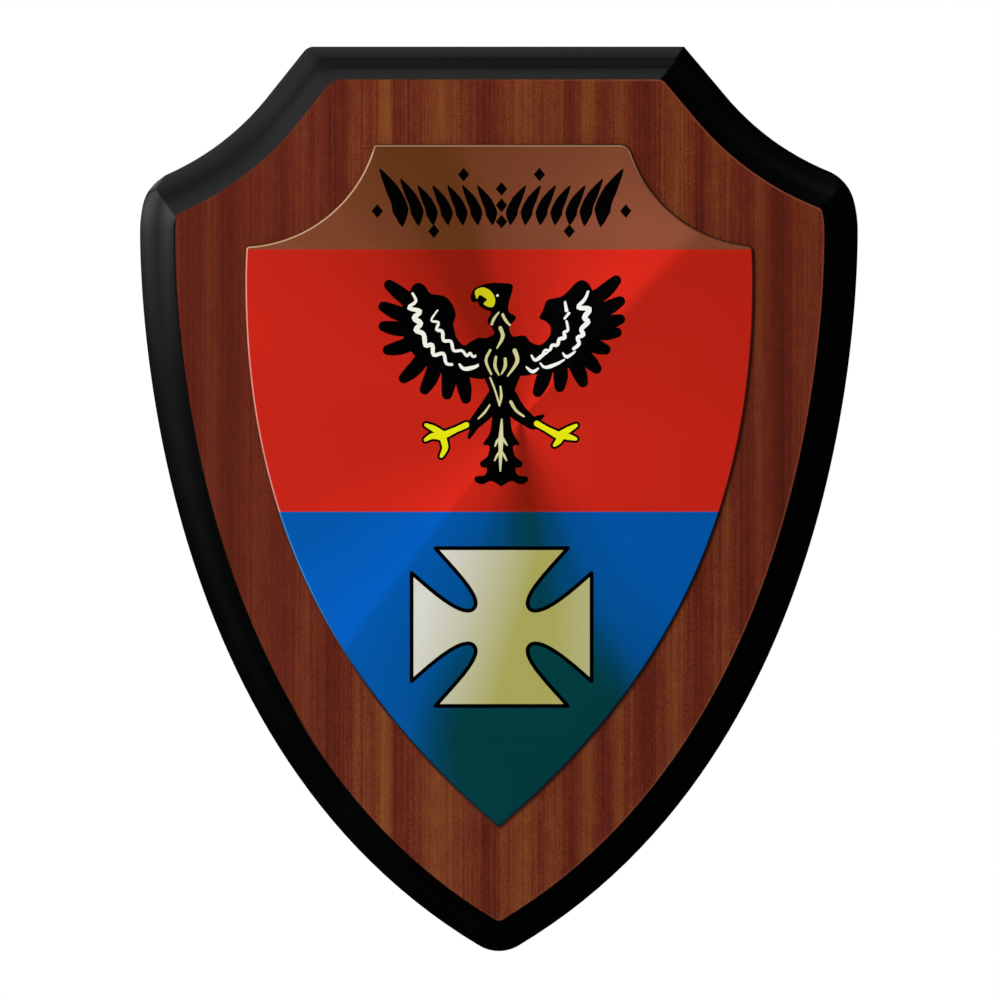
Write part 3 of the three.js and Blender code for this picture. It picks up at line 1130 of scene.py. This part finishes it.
def makePlate():
    bm = bmesh.new()
    levels = plateLevels()
    rings = loftRings(bm, plateForm, levels)
    for face in bmesh.ops.edgeloop_fill(bm, edges=rings[-1])["faces"]:
        face.material_index = cutSlot
    for level in (plateLook["redTop"], plateLook["redFoot"]):
        geometry = list(bm.verts) + list(bm.edges) + list(bm.faces)
        bmesh.ops.bisect_plane(
            bm, geom=geometry, dist=1e-7, plane_co=(0, 0, level * mm), plane_no=(0, 0, 1)
        )
    count = paintedFace(bm, outlineRing(plateForm, levels[0]))
    bmesh.ops.remove_doubles(bm, verts=bm.verts, dist=mergeDistance)
    spare =[vert for vert in bm.verts if not vert.link_faces]
    bmesh.ops.delete(bm, geom=spare, context="VERTS")
    bmesh.ops.recalc_face_normals(bm, faces=bm.faces)
    openEdges = sum(not edge.is_manifold for edge in bm.edges)
    print("plate face:", count, "parts, open edges:", openEdges)
    finishes = [paintFinish(name) for name in paintNames] + [edgeFinish(), cutEdgeFinish()]
    plate = finishedPiece("painted_plate", bm, finishes)
    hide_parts("plate")
    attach(plate, "root")


makePlate()
print("plate made")


# Studio: a pale floor well below, soft lamps, and a white surround

studioLook = {
    "floorRadius": 2.1,
    "floorHeight": -0.3,
    "lamps": {  # "paint" lamps leave no reflections, and "gloss" lamps leave nothing else
        "key": {"at": (-1.55, -3.35, 1.55), "size": (1.6, 1.6), "power": 104, "lights": "paint"},
        "front": {"at": (0.3, -4, 0.5), "size": (1.6, 1.6), "power": 37.5, "lights": "paint"},
        "sky": {"at": (-0.82, -0.1, 1.12), "size": (1.8, 3), "power": 7.6, "lights": "all"},
        "aside": {"at": (-1.35, -0.5, 0.42), "size": (2.4, 0.8), "power": 6.8, "lights": "gloss"},
        "brow": {"at": (-0.2, -1.35, 1.05), "size": (1.2, 0.7), "power": 0.9, "lights": "gloss"},
        "behind": {"at": (-0.6, 1.8, 1.2), "size": (1.2, 1.2), "power": 36, "lights": "all"},
    },
    "surround": 0.008,
}


def makeFloor():
    bm = bmesh.new()
    bmesh.ops.create_circle(bm, cap_ends=True, segments=96, radius=studioLook["floorRadius"])
    bmesh.ops.translate(bm, verts=bm.verts, vec=(0, 0, studioLook["floorHeight"]))
    finish = Finish("studio_floor")
    cloud = finish.noise((0.002, 0.002, 0.002), 2)
    finish.surface(
        Base_Color=finish.mixed(cloud, shade(232, 232, 230), shade(240, 240, 238)),
        Roughness=0.8,
        Specular_IOR_Level=0.2,
    )
    floor = finishedPiece("studio_floor", bm, [finish.material])
    floor.visible_glossy = False


def makeLamp(name, look):
    data = bpy.data.lights.new(name, "AREA")
    data.shape = "RECTANGLE"
    data.size, data.size_y = look["size"]
    data.energy = look["power"]
    lamp = bpy.data.objects.new(name, data)
    bpy.context.scene.collection.objects.link(lamp)
    lamp.location = look["at"]
    lamp.rotation_euler = (-Vector(look["at"])).to_track_quat("-Z", "Y").to_euler()
    lamp.visible_camera = False
    lamp.visible_glossy = look["lights"] != "paint"
    lamp.visible_diffuse = look["lights"] != "gloss"


def makeSurround():
    world = bpy.data.worlds.new("studio")
    world.use_nodes = True
    bpy.context.scene.world = world
    tree = world.node_tree
    background = tree.nodes["Background"]
    path = tree.nodes.new("ShaderNodeLightPath")
    level = tree.nodes.new("ShaderNodeMapRange")
    level.inputs["To Min"].default_value = studioLook["surround"]
    tree.links.new(path.outputs["Is Camera Ray"], level.inputs["Value"])
    background.inputs["Color"].default_value = (1, 1, 1, 1)
    tree.links.new(level.outputs["Result"], background.inputs["Strength"])


makeFloor()
for lampName, lampLook in studioLook["lamps"].items():
    makeLamp(lampName + "_lamp", lampLook)
makeSurround()
print("studio made")
